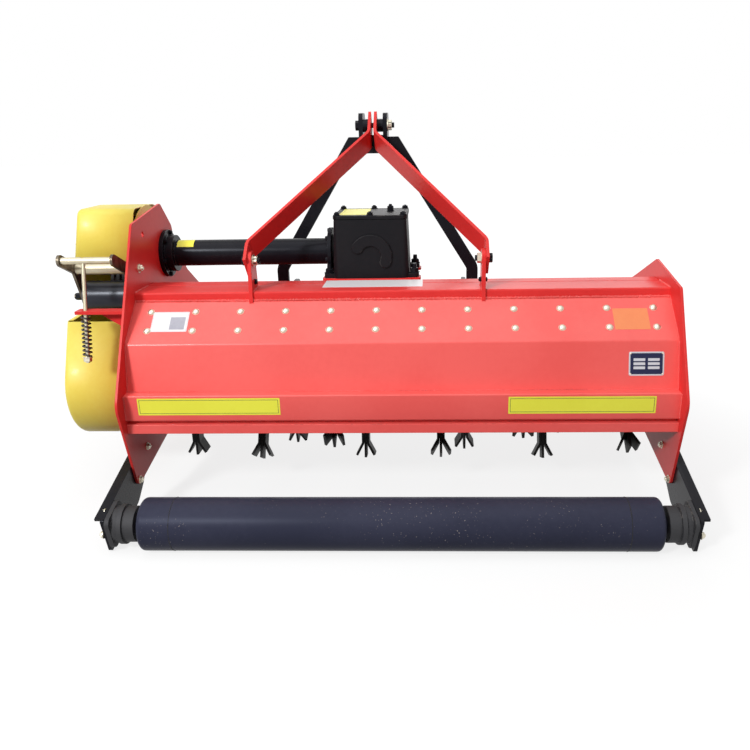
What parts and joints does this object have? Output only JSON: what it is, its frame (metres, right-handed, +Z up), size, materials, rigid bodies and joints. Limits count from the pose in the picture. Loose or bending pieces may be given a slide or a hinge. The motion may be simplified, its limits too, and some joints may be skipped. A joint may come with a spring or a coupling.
{
  "type": "tractor-mounted straw chopper",
  "caption": "Rear-mounted straw chopper: red steel hood over a flail rotor, side belt drive under a yellow cover, gearbox, three-point mast and rear ground roller.",
  "frame": {"origin": "bottom centre of the bounding box, on the floor, close to the middle of the hitch", "axes": "+X to the right as seen from behind, along the rotor; +Y forward to the tractor; +Z up"},
  "size_m": [1.94, 1.2085, 1.2159],
  "materials": {
    "red_paint": "gloss sprayed enamel",
    "black_paint": "gloss sprayed enamel",
    "yellow_paint": "gloss sprayed enamel",
    "bare_steel": "machined and forged steel",
    "zinc_plate": "yellow zinc plate",
    "cast_iron": "painted casting",
    "belt_rubber": "moulded rubber"
  },
  "bodies": {
    "root": {"side_plate_left": "red_paint", "side_plate_right": "red_paint", "skid_left": "black_paint", "skid_right": "black_paint", "rear_beam": "red_paint", "hood_panel": "red_paint", "hood_band": "red_paint", "hood_lip": "red_paint", "top_deck": "red_paint", "front_beam": "red_paint", "counter_knives": "bare_steel", "gearbox_seat": "red_paint", "gearbox_housing": "black_paint", "gearbox_lid": "black_paint", "gearbox_rear_cap": "black_paint", "shaft_tube": "black_paint", "belt_cover": "yellow_paint", "cover_back": "yellow_paint", "drive_belts": "belt_rubber", "tensioner_shelf": "red_paint", "tensioner_arm": "zinc_plate", "tensioner_rod": "zinc_plate", "tensioner_spring": "zinc_plate", "rotor_bearing_left": "cast_iron", "rotor_bearing_right": "cast_iron", "roller_arm_left": "black_paint", "roller_arm_right": "black_paint", "roller_bearing_left": "cast_iron", "roller_bearing_right": "cast_iron", "hitch_plate_left": "black_paint", "hitch_plate_right": "black_paint", "hitch_pin_left": "bare_steel", "hitch_pin_right": "bare_steel", "mast_leg_left": "black_paint", "mast_leg_right": "black_paint", "mast_head": "black_paint", "stay_left": "red_paint", "stay_right": "red_paint", "stay_bracket_left": "red_paint", "stay_bracket_right": "red_paint", "stay_bolts": "zinc_plate"},
    "rotor": {"rotor_drum": "black_paint", "flail_blades": "bare_steel", "flail_pins": "zinc_plate", "rotor_pulley": "cast_iron"},
    "cross_drive": {"cross_shaft": "bare_steel", "drive_pulley": "cast_iron"},
    "input": {"input_shaft": "bare_steel"},
    "idler": {"idler_drum": "cast_iron"},
    "ground_roller": {"roller": "black_paint"}
  },
  "joints": [
    {"name": "rotor_spin", "type": "hinge", "parent": "root", "child": "rotor", "pos_m": [0.108, -0.03075, 0.345], "axis": [1, 0, 0], "continuous": true},
    {"name": "cross_shaft_spin", "type": "hinge", "parent": "root", "child": "cross_drive", "pos_m": [-0.392, 0.15425, 0.758], "axis": [1, 0, 0], "continuous": true},
    {"name": "input_spin", "type": "hinge", "parent": "root", "child": "input", "pos_m": [0.008, 0.28925, 0.758], "axis": [0, 1, 0], "continuous": true},
    {"name": "idler_spin", "type": "hinge", "parent": "root", "child": "idler", "pos_m": [-0.842, -0.07068, 0.65448], "axis": [1, 0, 0], "continuous": true},
    {"name": "roller_spin", "type": "hinge", "parent": "root", "child": "ground_roller", "pos_m": [0.108, -0.52775, 0.0765], "axis": [1, 0, 0], "continuous": true}
  ],
  "couplings": [
    {"joint": "cross_shaft_spin", "follows": "rotor_spin", "ratio": 0.6875},
    {"joint": "input_spin", "follows": "rotor_spin", "ratio": 0.3556},
    {"joint": "idler_spin", "follows": "rotor_spin", "ratio": -1.76}
  ]
}
